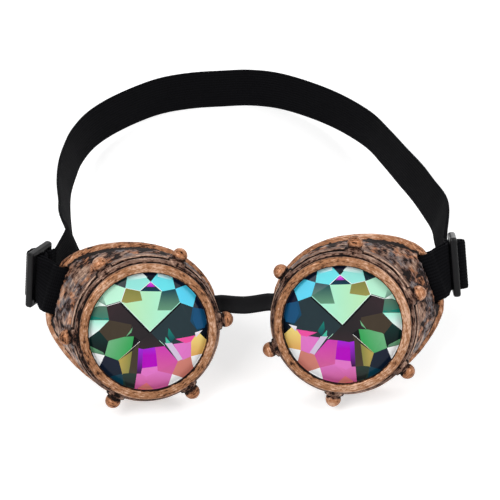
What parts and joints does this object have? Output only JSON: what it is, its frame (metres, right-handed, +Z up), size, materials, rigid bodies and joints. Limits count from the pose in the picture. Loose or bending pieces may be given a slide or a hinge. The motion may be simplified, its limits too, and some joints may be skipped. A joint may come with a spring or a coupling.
{
  "type": "costume goggles",
  "caption": "Costume goggles with two copper-finished cups, screw-on lens rings with studs, faceted lenses, a flexible bridge strip and an elastic head strap.",
  "frame": {"origin": "middle of the base of the bounding box, on the table that the goggles lie on", "axes": "+Z up, -Y the way the lenses look, +X to the right of someone looking at the lenses"},
  "size_m": [0.1842, 0.2242, 0.0669],
  "materials": {
    "cup_shell": "antique copper paint with dark, worn recesses",
    "lens_ring": "brushed copper paint with dark, worn recesses",
    "lens_glass": "cut facets with an iridescent coating",
    "gasket_rubber": "matte black",
    "bridge_rubber": "satin black",
    "slider_plastic": "gloss black",
    "strap_webbing": "ribbed black elastic"
  },
  "bodies": {
    "left_side": {"left_cup": "cup_shell", "left_lens_gasket": "gasket_rubber", "bridge_strip": "bridge_rubber", "left_strap_end": "strap_webbing", "head_strap": "strap_webbing"},
    "left_glass": {"left_lens": "lens_glass"},
    "left_ring": {"left_lens_ring": "lens_ring"},
    "left_adjuster": {"left_slider": "slider_plastic"},
    "right_side": {"right_cup": "cup_shell", "right_lens_gasket": "gasket_rubber", "right_strap_end": "strap_webbing"},
    "right_glass": {"right_lens": "lens_glass"},
    "right_ring": {"right_lens_ring": "lens_ring"},
    "right_adjuster": {"right_slider": "slider_plastic"}
  },
  "joints": [
    {"name": "left_glass_travel", "type": "slide", "parent": "left_side", "child": "left_glass", "axis": [0.1392, -0.8744, 0.4649], "range_m": [0, 0.00401]},
    {"name": "left_ring_turn", "type": "hinge", "parent": "left_glass", "child": "left_ring", "pos_m": [-0.0401, -0.09891, 0.03895], "axis": [0.1392, -0.8744, 0.4649], "range_deg": [0, 720]},
    {"name": "left_slider_adjust", "type": "slide", "parent": "left_side", "child": "left_adjuster", "axis": [0.4881, 0.8422, -0.229], "range_m": [0, 0.006], "deforming": ["left_strap_end"]},
    {"name": "bridge_flex", "type": "hinge", "parent": "left_side", "child": "right_side", "pos_m": [-0.001, -0.07731, 0.03588], "axis": [0, 0.4695, 0.8829], "range_deg": [-8, 20], "stiffness_Nm_per_rad": 0.2, "deforming": ["bridge_strip", "head_strap"]},
    {"name": "right_glass_travel", "type": "slide", "parent": "right_side", "child": "right_glass", "axis": [-0.1392, -0.8744, 0.4649], "range_m": [0, 0.00401]},
    {"name": "right_ring_turn", "type": "hinge", "parent": "right_glass", "child": "right_ring", "pos_m": [0.0381, -0.09891, 0.03895], "axis": [-0.1392, -0.8744, 0.4649], "range_deg": [0, 720]},
    {"name": "right_slider_adjust", "type": "slide", "parent": "right_side", "child": "right_adjuster", "axis": [0.0175, 0.8828, -0.4694], "range_m": [0, 0.006], "deforming": ["right_strap_end"]}
  ],
  "couplings": [
    {"joint": "left_glass_travel", "follows": "left_ring_turn", "m_per_rad": 0.00031831},
    {"joint": "right_glass_travel", "follows": "right_ring_turn", "m_per_rad": 0.00031831}
  ]
}
